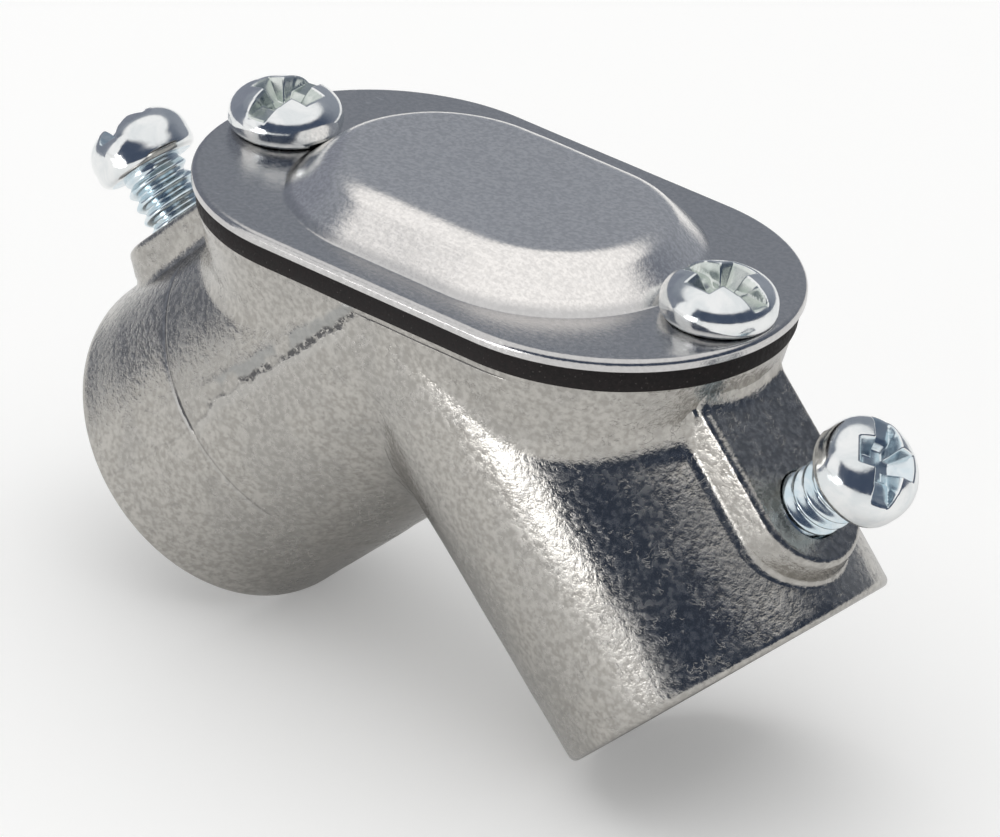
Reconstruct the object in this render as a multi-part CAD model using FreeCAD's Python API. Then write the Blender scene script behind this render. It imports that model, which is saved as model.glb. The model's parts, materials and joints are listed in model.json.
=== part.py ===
import FreeCAD, Part
import math
import os

from FreeCAD import Placement, Rotation, Vector

# A pull elbow for half-inch steel conduit: a die-cast zinc body with two sockets at a
# right angle, and over the corner a gasketed cover through which wires are pulled.
# Millimetres.  +Z is the cover's normal, +X runs along the cover towards the right
# socket.  The script works about the corner, the point where the two socket axes
# cross, and lifts every piece at the end so that the lowest points of the two mouths
# stand at z = 0.

# --- sockets -----------------------------------------------------------------------
MOUTH_DISTANCE = 32.3        # corner to the plane of a mouth, along the socket's axis
HUB_DRAFT = 1.0              # degrees: a socket grows thicker towards the corner
MOUTH_ROUNDING = 0.5         # outer edge of a mouth
MOUTH_LEAD_IN = 0.6          # chamfer that guides the conduit into the socket
CONDUIT_RADIUS = 8.97        # outside of half-inch thin-wall conduit
SOCKET_CLEARANCE = 0.28      # radial, between conduit and socket
SOCKET_WALL = 3.0            # thickness of a socket at its mouth
SOCKET_DEPTH = 17.3          # mouth to the stop on which the conduit ends
THROAT_RADIUS = 7.9          # the stop's hole, as wide as the conduit inside
CHAMBER_RADIUS = 10.3        # hollow corner in which the wires turn
CHAMBER_LENGTH = 8.5         # corner to the end of the chamber, along a socket's axis

# --- oval box under the cover --------------------------------------------------------
SEAT_HEIGHT = 0.26           # the gasket's seat, above the corner
BOX_HALF_LENGTH = 22.4
BOX_STEP = 0.2862            # how far the flat sides stand out past the sockets
BOX_RUN_IN = 1.1             # how far inside a socket's outside the flat sides end
BOX_SIDE_DEPTH = 6.0         # the flat sides run out inside the sockets
BOX_END_DEPTH = 10.0         # so do the round ends, further down
OPENING_HALF_LENGTH = 14.0
OPENING_HALF_WIDTH = 10.6
OPENING_DEPTH = 4.3
BOX_BLEND = 2.5              # fillet where the box meets the sockets

# --- pads that carry the set screws ----------------------------------------------------
PAD_HALF_WIDTH = 4.45
PAD_DRAFT_WIDTH = 0.3        # how much wider the pad's foot is, each side
PAD_RISE = 1.95              # pad's face above the socket's outside at the mouth
PAD_START = 15.2             # along the axis, inside the box
SET_SCREW_INSET = 7.1        # mouth to the set screw, along the socket's axis
PAD_EDGE = 0.25              # rounding of the pad's edge

# --- gasket and cover ------------------------------------------------------------------
GASKET_THICKNESS = 1.6
GASKET_INSET = 0.4           # gasket's outline inside the cover's
COVER_OVERHANG = 0.55        # cover's outline outside the seat
COVER_THICKNESS = 0.9
COVER_EDGE = 0.4             # rounding of the cover's upper edge
DOME_INSET = 3.5             # cover screw to the crease at the foot of the pressed dome
DOME_HALF_WIDTH = 11.0
DOME_HEIGHT = 2.9
DOME_SLOPE_WIDTH = 3.2       # how far the slope leans in over that height
DOME_SHOULDER = 3.0          # radius from the slope to the flat top

# --- screws ------------------------------------------------------------------------------
SCREW_CLEARANCE = 0.05       # radial, between a shank and the hole it turns in
PASS_CLEARANCE = 0.3         # radial, where a shank only passes through

COVER_SCREW_INSET = 3.4      # end of the seat to a cover screw
COVER_SHANK_RADIUS = 2.05
COVER_SHANK_LENGTH = 6.35
COVER_HEAD_RADIUS = 4.0
COVER_HEAD_HEIGHT = 2.3
COVER_BEARING_RADIUS = 3.2   # the face on which the head bears
COVER_RIM_LOW = 0.7          # the underside flares to the rim up to here
COVER_RIM_HIGH = 0.95        # top of the upright rim
SCREW_HOLE_SPARE = 0.3       # blind hole below the tip of a cover screw

SET_SHANK_RADIUS = 2.4
SET_SHANK_LENGTH = 9.2
SET_HEAD_RADIUS = 3.7
SET_HEAD_HEIGHT = 3.7
SET_BEARING_RADIUS = 3.35
SET_RIM_LOW = 0.35
SET_RIM_HIGH = 2.3
SET_TIP_RECESS = 0.2         # tip of a backed-out set screw behind the socket's wall

TIP_CHAMFER = 0.5
SLOT_WIDTH = 1.25
SLOT_DEPTH = 1.0
CROSS_WING = 1.3             # width of a wing of the cross recess
CROSS_SPAN = 4.4             # tip to tip, at the head's top
CROSS_DEPTH = 2.0
CROSS_FLOOR = 0.45           # the recess narrows to this share of its span

# --- worked out ------------------------------------------------------------------------
OVERSHOOT = 1.0              # how far a cutting tool passes the face it opens
ROOT_TWO = math.sqrt(2.0)
SOCKET_RADIUS = CONDUIT_RADIUS + SOCKET_CLEARANCE
MOUTH_RADIUS = SOCKET_RADIUS + SOCKET_WALL
STOP_STATION = MOUTH_DISTANCE - SOCKET_DEPTH
SET_SCREW_STATION = MOUTH_DISTANCE - SET_SCREW_INSET
HUB_ROOT_RADIUS = MOUTH_RADIUS + MOUTH_DISTANCE * math.tan(math.radians(HUB_DRAFT))
BOX_HALF_WIDTH = HUB_ROOT_RADIUS + BOX_STEP
BOX_LOW_WIDTH = HUB_ROOT_RADIUS - BOX_RUN_IN
BOX_SLOPE = (BOX_HALF_WIDTH - BOX_LOW_WIDTH) / BOX_SIDE_DEPTH
COVER_HALF_LENGTH = BOX_HALF_LENGTH + COVER_OVERHANG
COVER_HALF_WIDTH = BOX_HALF_WIDTH + COVER_OVERHANG
COVER_SCREW_STATION = BOX_HALF_LENGTH - COVER_SCREW_INSET
DOME_HALF_LENGTH = COVER_SCREW_STATION - DOME_INSET
PAD_FACE = MOUTH_RADIUS + PAD_RISE
PAD_FOOT = 0.5 * (SOCKET_RADIUS + MOUTH_RADIUS)
COVER_UNDERSIDE = SEAT_HEIGHT + GASKET_THICKNESS
COVER_TOP = COVER_UNDERSIDE + COVER_THICKNESS
SET_HEAD_SEAT = SOCKET_RADIUS + SET_TIP_RECESS + SET_SHANK_LENGTH
LIFT = (MOUTH_DISTANCE + MOUTH_RADIUS - (2.0 - ROOT_TWO) * MOUTH_ROUNDING) / ROOT_TWO


def hub_placement(side):
    """Local Z runs along a socket's axis and local X out through its set screw."""
    along = Vector(side, 0, -1).normalize()
    outward = Vector(side, 0, 1).normalize()
    return Placement(Vector(0, 0, 0), Rotation(outward, along.cross(outward), along, "ZXY"))


def placed(shape, placement):
    moved = shape.copy()
    moved.Placement = placement.multiply(moved.Placement)
    return moved


def turned(profile_edges):
    """Solid of revolution about local Z from edges drawn in the XZ plane."""
    face = Part.Face(Part.Wire(profile_edges))
    return face.revolve(Vector(0, 0, 0), Vector(0, 0, 1), 360)


def line(a, b):
    return Part.LineSegment(Vector(a[0], 0, a[1]), Vector(b[0], 0, b[1])).toShape()


def arc(a, middle, b):
    points = [Vector(p[0], 0, p[1]) for p in (a, middle, b)]
    return Part.Arc(*points).toShape()


def stadium_wire(half_length, half_width, z):
    """Outline with two straight sides and two half-round ends."""
    straight = half_length - half_width
    right_bottom = Vector(straight, -half_width, z)
    right_top = Vector(straight, half_width, z)
    left_top = Vector(-straight, half_width, z)
    left_bottom = Vector(-straight, -half_width, z)
    edges = [
        Part.LineSegment(left_bottom, right_bottom).toShape(),
        Part.Arc(right_bottom, Vector(half_length, 0, z), right_top).toShape(),
        Part.LineSegment(right_top, left_top).toShape(),
        Part.Arc(left_top, Vector(-half_length, 0, z), left_bottom).toShape(),
    ]
    return Part.Wire(edges)


def stadium_plate(half_length, half_width, bottom, top):
    face = Part.Face(stadium_wire(half_length, half_width, bottom))
    return face.extrude(Vector(0, 0, top - bottom))


def oval_frustum(half_length, half_width, bottom, top, lean):
    """Stadium whose walls lean in by `lean` on the way up: a prism between two cones."""
    straight = half_length - half_width
    section = [
        Vector(-straight, -half_width, bottom),
        Vector(-straight, half_width, bottom),
        Vector(-straight, half_width - lean, top),
        Vector(-straight, lean - half_width, top),
    ]
    side = Part.Face(Part.makePolygon(section + section[:1]))
    middle = side.extrude(Vector(2 * straight, 0, 0))
    ends = [
        Part.makeCone(half_width, half_width - lean, top - bottom, Vector(x, 0, bottom))
        for x in (-straight, straight)
    ]
    return middle.fuse(ends).removeSplitter()


def edges_in_plane(shape, normal, distance):
    """Edges that lie wholly in the plane at `distance` along `normal`."""
    found = []
    for edge in shape.Edges:
        points = edge.discretize(5)
        if all(abs(p.dot(normal) - distance) < 1e-4 for p in points):
            found.append(edge)
    return found


# --- body -----------------------------------------------------------------------------------
def hub_outside():
    """Tapered barrel, its mouth edge rounded."""
    rounding = MOUTH_ROUNDING
    corner = 1.0 - 1.0 / ROOT_TWO
    side_top = (MOUTH_RADIUS, MOUTH_DISTANCE - rounding)
    bend = (MOUTH_RADIUS - corner * rounding, MOUTH_DISTANCE - corner * rounding)
    face_edge = (MOUTH_RADIUS - rounding, MOUTH_DISTANCE)
    return turned([
        line((0, 0), (HUB_ROOT_RADIUS, 0)),
        line((HUB_ROOT_RADIUS, 0), side_top),
        arc(side_top, bend, face_edge),
        line(face_edge, (0, MOUTH_DISTANCE)),
        line((0, MOUTH_DISTANCE), (0, 0)),
    ])


def hub_hollow():
    """Chamber, throat and socket in one turned tool."""
    mouth = SOCKET_RADIUS + MOUTH_LEAD_IN
    outline = [
        (0, 0),
        (CHAMBER_RADIUS, 0),
        (CHAMBER_RADIUS, CHAMBER_LENGTH),
        (THROAT_RADIUS, CHAMBER_LENGTH + CHAMBER_RADIUS - THROAT_RADIUS),
        (THROAT_RADIUS, STOP_STATION),
        (SOCKET_RADIUS, STOP_STATION),
        (SOCKET_RADIUS, MOUTH_DISTANCE - MOUTH_LEAD_IN),
        (mouth, MOUTH_DISTANCE),
        (mouth, MOUTH_DISTANCE + OVERSHOOT),
        (0, MOUTH_DISTANCE + OVERSHOOT),
    ]
    return turned([line(a, b) for a, b in zip(outline, outline[1:] + outline[:1])])


def set_screw_pad():
    """Flat-faced pad round the set screw, its walls slightly drafted."""
    foot = PAD_HALF_WIDTH + PAD_DRAFT_WIDTH
    corners = [
        Vector(PAD_FOOT, -foot, PAD_START),
        Vector(PAD_FOOT, foot, PAD_START),
        Vector(PAD_FACE, PAD_HALF_WIDTH, PAD_START),
        Vector(PAD_FACE, -PAD_HALF_WIDTH, PAD_START),
    ]
    section = Part.Face(Part.makePolygon(corners + corners[:1]))
    straight = section.extrude(Vector(0, 0, SET_SCREW_STATION - PAD_START))
    end = Part.makeCone(
        foot, PAD_HALF_WIDTH, PAD_FACE - PAD_FOOT, Vector(PAD_FOOT, 0, SET_SCREW_STATION), Vector(1, 0, 0)
    )
    pad = straight.fuse(end).removeSplitter()
    rim = [
        edge for edge in edges_in_plane(pad, Vector(1, 0, 0), PAD_FACE)
        if edge.CenterOfMass.z > PAD_START + PAD_EDGE
    ]
    return pad.makeFillet(PAD_EDGE, rim)


def set_screw_hole():
    start = Vector(0, 0, SET_SCREW_STATION)
    return Part.makeCylinder(SET_SHANK_RADIUS + SCREW_CLEARANCE, PAD_FACE + OVERSHOOT, start, Vector(1, 0, 0))


def box_outside():
    """Drafted oval box: flat sides between two round ends."""
    straight = BOX_HALF_LENGTH - BOX_HALF_WIDTH
    low = SEAT_HEIGHT - BOX_SIDE_DEPTH
    corners = [
        Vector(-straight, -BOX_HALF_WIDTH, SEAT_HEIGHT),
        Vector(-straight, BOX_HALF_WIDTH, SEAT_HEIGHT),
        Vector(-straight, BOX_LOW_WIDTH, low),
        Vector(-straight, -BOX_LOW_WIDTH, low),
    ]
    side = Part.Face(Part.makePolygon(corners + corners[:1]))
    box = side.extrude(Vector(2 * straight, 0, 0))
    end_radius = BOX_HALF_WIDTH - BOX_SLOPE * BOX_END_DEPTH
    for side_x in (-straight, straight):
        base = Vector(side_x, 0, SEAT_HEIGHT - BOX_END_DEPTH)
        box = box.fuse(Part.makeCone(end_radius, BOX_HALF_WIDTH, BOX_END_DEPTH, base))
    return box


def blend_edges(shape):
    """The loop of edges along which the box's walls run out on the sockets."""
    found = []
    for edge in shape.Edges:
        heights = [p.z for p in edge.discretize(7)]
        beside_seat = max(heights) < SEAT_HEIGHT - MOUTH_ROUNDING
        above_run_out = min(heights) > SEAT_HEIGHT - BOX_END_DEPTH
        if beside_seat and above_run_out and edge.Curve.TypeId != "Part::GeomLine":
            found.append(edge)
    return found


def body():
    sides = [hub_placement(1), hub_placement(-1)]
    barrels = [placed(hub_outside(), p) for p in sides]
    shell = barrels[0].fuse([barrels[1], box_outside()])
    above = 2 * MOUTH_DISTANCE
    lid = Part.makeBox(2 * above, 2 * above, above, Vector(-above, -above, SEAT_HEIGHT))
    shell = shell.cut(lid).removeSplitter()
    shell = shell.makeFillet(BOX_BLEND, blend_edges(shell))
    shell = shell.fuse([placed(set_screw_pad(), p) for p in sides])
    opening = stadium_plate(
        OPENING_HALF_LENGTH, OPENING_HALF_WIDTH, SEAT_HEIGHT - OPENING_DEPTH, SEAT_HEIGHT + OVERSHOOT
    )
    tip = COVER_TOP - COVER_SHANK_LENGTH - SCREW_HOLE_SPARE
    tools = [opening]
    for side, placement in zip((1, -1), sides):
        tools.append(placed(hub_hollow(), placement))
        tools.append(placed(set_screw_hole(), placement))
        tools.append(Part.makeCylinder(
            COVER_SHANK_RADIUS + SCREW_CLEARANCE,
            SEAT_HEIGHT + OVERSHOOT - tip,
            Vector(side * COVER_SCREW_STATION, 0, tip),
        ))
    return shell.cut(tools).removeSplitter()


# --- gasket and cover -------------------------------------------------------------------------
def screw_passages(bottom, top):
    radius = COVER_SHANK_RADIUS + PASS_CLEARANCE
    return [
        Part.makeCylinder(radius, top - bottom, Vector(side * COVER_SCREW_STATION, 0, bottom))
        for side in (1, -1)
    ]


def gasket():
    sheet = stadium_plate(
        COVER_HALF_LENGTH - GASKET_INSET, COVER_HALF_WIDTH - GASKET_INSET, SEAT_HEIGHT, COVER_UNDERSIDE
    )
    window = stadium_plate(
        OPENING_HALF_LENGTH, OPENING_HALF_WIDTH, SEAT_HEIGHT - OVERSHOOT, COVER_UNDERSIDE + OVERSHOOT
    )
    holes = screw_passages(SEAT_HEIGHT - OVERSHOOT, COVER_UNDERSIDE + OVERSHOOT)
    return sheet.cut([window] + holes)


def dome(inset, bottom, top):
    """Raised middle: a leaning stadium with a rounded shoulder."""
    reach = (top - bottom) / DOME_HEIGHT * DOME_SLOPE_WIDTH
    raised = oval_frustum(DOME_HALF_LENGTH - inset, DOME_HALF_WIDTH - inset, bottom, top, reach)
    return raised.makeFillet(DOME_SHOULDER - inset, edges_in_plane(raised, Vector(0, 0, 1), top))


def cover():
    sheet = stadium_plate(COVER_HALF_LENGTH, COVER_HALF_WIDTH, COVER_UNDERSIDE, COVER_TOP)
    sheet = sheet.makeFillet(COVER_EDGE, edges_in_plane(sheet, Vector(0, 0, 1), COVER_TOP))
    # Sheet metal keeps its thickness: the hollow is the dome lowered by one thickness
    # and drawn in by what the leaning side takes up.
    lean = math.hypot(DOME_HEIGHT, DOME_SLOPE_WIDTH)
    inset = COVER_THICKNESS * (lean - DOME_SLOPE_WIDTH) / DOME_HEIGHT
    raised = dome(0, COVER_TOP, COVER_TOP + DOME_HEIGHT)
    hollow = dome(inset, COVER_UNDERSIDE, COVER_UNDERSIDE + DOME_HEIGHT)
    holes = screw_passages(COVER_UNDERSIDE - OVERSHOOT, COVER_TOP + OVERSHOOT)
    return sheet.fuse(raised).cut([hollow] + holes).removeSplitter()


# --- screws -------------------------------------------------------------------------------------
def screw_blank(shank_radius, shank_length, bearing_radius, head_radius, rim_low, rim_high, head_height):
    """Shank below z = 0 and a domed pan head above it."""
    tip = shank_radius - TIP_CHAMFER
    rise = head_height - rim_high
    shoulder = (0.93 * head_radius, rim_high + 0.38 * rise)
    crown = (0.62 * head_radius, rim_high + 0.78 * rise)
    upper = (0.33 * head_radius, rim_high + 0.94 * rise)
    outline = [
        (0, -shank_length),
        (tip, -shank_length),
        (shank_radius, TIP_CHAMFER - shank_length),
        (shank_radius, 0),
        (bearing_radius, 0),
        (head_radius, rim_low),
        (head_radius, rim_high),
    ]
    edges = [line(a, b) for a, b in zip(outline, outline[1:])]
    edges.append(arc(outline[-1], shoulder, crown))
    edges.append(arc(crown, upper, (0, head_height)))
    edges.append(line((0, head_height), outline[0]))
    return turned(edges)


def cross_wing(span, wing, floor_z, mouth_z):
    """One tapered wing of the cross, narrower at its floor."""
    grow = 1.0 + (1.0 - CROSS_FLOOR) * OVERSHOOT / CROSS_DEPTH
    low_x = 0.5 * span * CROSS_FLOOR
    low_y = 0.5 * wing * CROSS_FLOOR
    top_x = 0.5 * span * grow
    top_y = 0.5 * wing * grow
    wedge = Part.makeWedge(-low_x, 0, -low_y, -top_y, -top_x, low_x, mouth_z - floor_z, low_y, top_y, top_x)
    wedge.rotate(Vector(0, 0, 0), Vector(1, 0, 0), 90)
    wedge.translate(Vector(0, 0, floor_z))
    return wedge


def drive_recess(head_radius, head_height):
    """Tools that cut the combined slot and cross into a head."""
    reach = head_radius + OVERSHOOT
    slot = Part.makeBox(
        2 * reach, SLOT_WIDTH, SLOT_DEPTH + OVERSHOOT,
        Vector(-reach, -0.5 * SLOT_WIDTH, head_height - SLOT_DEPTH)
    )
    floor_z = head_height - CROSS_DEPTH
    mouth_z = head_height + OVERSHOOT
    along = cross_wing(CROSS_SPAN, CROSS_WING, floor_z, mouth_z)
    across = along.copy()
    across.rotate(Vector(0, 0, 0), Vector(0, 0, 1), 90)
    return [slot, along, across]


def cover_screw(side):
    blank = screw_blank(
        COVER_SHANK_RADIUS, COVER_SHANK_LENGTH, COVER_BEARING_RADIUS,
        COVER_HEAD_RADIUS, COVER_RIM_LOW, COVER_RIM_HIGH, COVER_HEAD_HEIGHT
    )
    shape = blank.cut(drive_recess(COVER_HEAD_RADIUS, COVER_HEAD_HEIGHT))
    return placed(shape, Placement(Vector(side * COVER_SCREW_STATION, 0, COVER_TOP), Rotation()))


def set_screw(side):
    blank = screw_blank(
        SET_SHANK_RADIUS, SET_SHANK_LENGTH, SET_BEARING_RADIUS,
        SET_HEAD_RADIUS, SET_RIM_LOW, SET_RIM_HIGH, SET_HEAD_HEIGHT
    )
    shape = blank.cut(drive_recess(SET_HEAD_RADIUS, SET_HEAD_HEIGHT))
    stand = Placement(Vector(SET_HEAD_SEAT, 0, SET_SCREW_STATION), Rotation(Vector(0, 1, 0), 90))
    return placed(shape, hub_placement(side).multiply(stand))


# --- write the pieces ------------------------------------------------------------------------------
def main():
    os.makedirs("parts", exist_ok=True)
    nodes = {
        "body": body(),
        "gasket": gasket(),
        "cover": cover(),
        "cover_screw_right": cover_screw(1),
        "cover_screw_left": cover_screw(-1),
        "set_screw_right": set_screw(1),
        "set_screw_left": set_screw(-1),
    }
    for name, shape in nodes.items():
        shape.translate(Vector(0, 0, LIFT))
        shape.exportStep("parts/" + name + ".step")
        print(name, "solids", len(shape.Solids), "volume", round(shape.Volume, 1), "valid", shape.isValid())


main()
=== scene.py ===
# %% [markdown]
# # A pull elbow for steel conduit
# A die-cast zinc elbow joins two conduits at a right angle.  An oval steel cover with a
# pressed dome sits over the corner on a rubber gasket, two pan head screws hold it, and
# a set screw clamps the conduit in each socket.  The CAD solids give every size and
# place; this lesson builds the surfaces that are seen around them.

# %% Load the frame
import json
import math

import bpy
import numpy as np
from mathutils import Matrix, Vector


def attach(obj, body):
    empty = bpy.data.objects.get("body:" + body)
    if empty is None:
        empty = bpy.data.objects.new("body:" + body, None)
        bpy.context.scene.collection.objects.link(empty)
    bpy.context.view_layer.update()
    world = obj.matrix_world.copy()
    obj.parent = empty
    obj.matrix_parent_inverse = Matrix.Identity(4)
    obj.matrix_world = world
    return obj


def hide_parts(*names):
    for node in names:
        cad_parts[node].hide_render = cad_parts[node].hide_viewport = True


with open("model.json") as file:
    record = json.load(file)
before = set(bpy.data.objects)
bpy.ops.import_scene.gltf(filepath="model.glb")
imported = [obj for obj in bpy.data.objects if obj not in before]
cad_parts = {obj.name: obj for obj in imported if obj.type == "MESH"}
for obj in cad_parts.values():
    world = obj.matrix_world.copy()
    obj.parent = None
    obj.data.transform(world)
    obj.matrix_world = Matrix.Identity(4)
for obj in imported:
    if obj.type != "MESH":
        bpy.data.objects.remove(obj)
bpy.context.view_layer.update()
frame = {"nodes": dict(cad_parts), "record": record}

print("nodes:", sorted(frame["nodes"]))

# %% [markdown]
# ## The corner
# All shapes are worked out in millimetres about one point, the corner, where the two
# socket axes cross.  The record gives the right socket's middle on an axis that falls
# at 45 degrees, so the corner lies straight above the origin by the sum of its height
# and its distance sideways.  One helper lifts finished points into the frame.

# %% Millimetres about the corner
MM = 0.001
ROOT_TWO = math.sqrt(2.0)
MOUNTS = {mount["name"]: mount for mount in frame["record"]["mounts"]}
CORNER = MOUNTS["right_hub"]["pos_m"][2] + MOUNTS["right_hub"]["pos_m"][0]


def to_frame(points):
    """Millimetres about the corner to metres in the frame: scaled, then lifted."""
    return np.asarray(points, float) * MM + np.array([0.0, 0.0, CORNER])


print("corner height:", round(CORNER, 6), "m")

# %% [markdown]
# ## From a grid of points to a mesh
# Each piece is a grid: rows of points along a profile, columns round the piece.  A cell
# of the grid becomes a face.  Where a row shrinks to a point or two grids meet, points
# coincide, and welding them closes the surface.  The enclosed volume tells whether the
# faces point outwards, and turns them if they don't.

# %% Grids and meshes
def grid_cells(rows, columns, first=0, wrap=True):
    """Four corner numbers of each cell: this column and the next, this row and the next."""
    j, k = np.meshgrid(np.arange(rows - 1), np.arange(columns if wrap else columns - 1), indexing="ij")
    a = first + j * columns + k
    b = first + j * columns + (k + 1) % columns
    return np.stack([a, b, b + columns, a + columns], axis=-1).reshape(-1, 4)


def weld(points, cells):
    """Points that agree to a ten-thousandth of a millimetre become one point."""
    keys = np.round(points * 1e4).astype(np.int64)
    _, first, number = np.unique(keys, axis=0, return_index=True, return_inverse=True)
    cells = number.reshape(-1)[cells]
    kept = cells != np.roll(cells, 1, axis=1)
    folded = (cells[:, 0] == cells[:, 2]) | (cells[:, 1] == cells[:, 3])
    good = (kept.sum(axis=1) >= 3) & ~folded
    return points[first], cells[good], kept[good]


def enclosed_volume(points, cells):
    """Sum of the signed volumes between the origin and each face's two triangles."""
    a, b, c, d = (points[cells[:, i]] for i in range(4))
    return float((np.cross(b, c) * a).sum() + (np.cross(c, d) * a).sum()) / 6.0


def make_piece(name, points, cells, body, material, sharp=38.0):
    """Welds a grid, turns it outwards and puts it into a mesh that rides on a CAD body."""
    points = np.asarray(points, float).reshape(-1, 3)
    points, cells, kept = weld(points, cells)
    volume = enclosed_volume(points, cells)
    if volume < 0:
        cells, kept = cells[:, ::-1], cells[:, ::-1] != np.roll(cells[:, ::-1], 1, axis=1)
    sides = kept.sum(axis=1)
    mesh = bpy.data.meshes.new(name)
    mesh.vertices.add(len(points))
    mesh.vertices.foreach_set("co", to_frame(points).astype(np.float32).ravel())
    mesh.loops.add(int(sides.sum()))
    mesh.loops.foreach_set("vertex_index", cells[kept].astype(np.int32))
    mesh.polygons.add(len(cells))
    starts = np.concatenate([[0], np.cumsum(sides)[:-1]])
    mesh.polygons.foreach_set("loop_start", starts.astype(np.int32))
    mesh.update(calc_edges=True)
    mesh.polygons.foreach_set("use_smooth", np.ones(len(cells), bool))
    mesh.set_sharp_from_angle(angle=math.radians(sharp))
    mesh.materials.append(material)
    piece = bpy.data.objects.new(name, mesh)
    bpy.context.scene.collection.objects.link(piece)
    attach(piece, body)
    print(name, "faces", len(cells), "volume", round(abs(volume), 1), "mm3")
    return piece


# %% [markdown]
# ## Camera
# The view is a long lens from the right front, a little above the part, and the camera
# is tipped by about four degrees, so that the part leans slightly in the view.

# %% Camera
AIM = (4.100, -3.274, -9.595)                 # millimetres about the corner
CAMERA_PLACE = (256.229, -328.265, 209.051)
CAMERA_ROLL = 4.3976                          # degrees
FOCAL_LENGTH = 248.827
SENSOR_WIDTH = 36.0

camera_data = bpy.data.cameras.new("camera")
camera_data.lens = FOCAL_LENGTH
camera_data.sensor_width = SENSOR_WIDTH
camera_data.clip_start = 0.01
camera = bpy.data.objects.new("camera", camera_data)
bpy.context.scene.collection.objects.link(camera)
place = Vector(to_frame(CAMERA_PLACE))
aim = Vector(to_frame(AIM))
facing = (aim - place).to_track_quat("-Z", "Y").to_matrix().to_4x4()
roll = Matrix.Rotation(math.radians(CAMERA_ROLL), 4, "Z")
camera.matrix_world = Matrix.Translation(place) @ facing @ roll
bpy.context.scene.camera = camera
print("camera at", [round(v, 4) for v in place])

# %% [markdown]
# ## Shader helpers
# A material is a small graph of nodes.  Two helpers keep the graphs short: one adds a
# node and fills its sockets, the other adds arithmetic on values.  The rest are built on
# those two: ramps, mixes, noise, masks multiplied together, and one that ends a material
# by linking its colour, its roughness and its bump.

# %% Node helpers
def add(tree, kind, inputs=None, **settings):
    """One node: settings by name, then sockets filled with a value or linked to an output."""
    made = tree.nodes.new(kind)
    for key, value in settings.items():
        setattr(made, key, value)
    for key, value in (inputs or {}).items():
        if isinstance(value, bpy.types.NodeSocket):
            tree.links.new(value, made.inputs[key])
        else:
            made.inputs[key].default_value = value
    return made


def calc(tree, operation, *values):
    """A Math node's output."""
    return add(tree, "ShaderNodeMath", dict(enumerate(values)), operation=operation).outputs[0]


def spread(tree, value, low, high, to_low=0.0, to_high=1.0, smooth=True):
    """A value between low and high, spread between two new ends and held there."""
    kind = "SMOOTHSTEP" if smooth else "LINEAR"
    inputs = {"Value": value, "From Min": low, "From Max": high, "To Min": to_low, "To Max": to_high}
    return add(tree, "ShaderNodeMapRange", inputs, interpolation_type=kind).outputs[0]


def mixed(tree, share, first, second):
    """The colour between two colours."""
    inputs = {0: share, 6: first, 7: second}
    return add(tree, "ShaderNodeMix", inputs, data_type="RGBA").outputs[2]


def mixed_value(tree, share, first, second):
    """The number between two numbers."""
    return add(tree, "ShaderNodeMix", {0: share, 2: first, 3: second}, data_type="FLOAT").outputs[0]


def laid_over(tree, tone, mask, share, colour):
    """A tone with a colour laid over it where a mask is 1, up to a share."""
    return mixed(tree, calc(tree, "MULTIPLY", mask, share), tone, colour)


def product(tree, *masks):
    """Product of masks, so that all of them have to be 1."""
    result = masks[0]
    for mask in masks[1:]:
        result = calc(tree, "MULTIPLY", result, mask)
    return result


def band(tree, value, half_width, soft):
    """1 where a value is within half a width of zero, falling to 0 over a soft edge."""
    return spread(tree, calc(tree, "ABSOLUTE", value), half_width, half_width + soft, 1.0, 0.0)


def noise(tree, vector, scale, detail=3.0, roughness=0.5, distortion=0.0):
    """Cloudy noise between 0 and 1; scale is lumps for each millimetre."""
    inputs = {"Vector": vector, "Scale": scale, "Detail": detail, "Roughness": roughness,
              "Distortion": distortion}
    return add(tree, "ShaderNodeTexNoise", inputs).outputs[0]


def millimetres(tree):
    """Object coordinates in millimetres about the frame's origin."""
    place = add(tree, "ShaderNodeTexCoord").outputs["Object"]
    return add(tree, "ShaderNodeVectorMath", {0: place, "Scale": 1.0 / MM}, operation="SCALE").outputs[0]


def above_corner(tree, place):
    """Height above the corner, in millimetres."""
    axes = add(tree, "ShaderNodeSeparateXYZ", {0: place}).outputs
    return calc(tree, "SUBTRACT", axes[2], CORNER / MM)


def new_material(name, metallic):
    """A material with its Principled shader and millimetre coordinates."""
    material = bpy.data.materials.new(name)
    material.use_nodes = True
    tree = material.node_tree
    shader = tree.nodes["Principled BSDF"]
    shader.inputs["Metallic"].default_value = metallic
    return material, tree, shader, millimetres(tree)


def finish_material(tree, shader, tone, rough, height, strength, depth):
    """Links a colour, a roughness and a bump, whose depth is in metres, to the shader."""
    tree.links.new(tone, shader.inputs["Base Color"])
    tree.links.new(rough, shader.inputs["Roughness"])
    bump = add(tree, "ShaderNodeBump", {"Height": height, "Strength": strength, "Distance": depth})
    tree.links.new(bump.outputs[0], shader.inputs["Normal"])
    print("material linked,", len(tree.nodes), "nodes")


def new_group(name, inputs, outputs):
    """A shader node group with named sockets, and its input and output nodes."""
    group = bpy.data.node_groups.new(name, "ShaderNodeTree")
    for key, kind, value in inputs:
        socket = group.interface.new_socket(key, in_out="INPUT", socket_type="NodeSocket" + kind)
        if value is not None:
            socket.default_value = value
    for key, kind in outputs:
        group.interface.new_socket(key, in_out="OUTPUT", socket_type="NodeSocket" + kind)
    return group, add(group, "NodeGroupInput"), add(group, "NodeGroupOutput")


def use(tree, group, inputs):
    """A group placed in a material."""
    return add(tree, "ShaderNodeGroup", inputs, node_tree=group)


print("node helpers ready")

# %% [markdown]
# ## Two shared effects
# Mottle is what a die leaves on cast metal and moulded rubber: patches about half a
# millimetre wide over broader clouds, and small pits.  Scratches are long thin noise,
# stretched along one direction, as on rolled sheet and plated heads.

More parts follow.
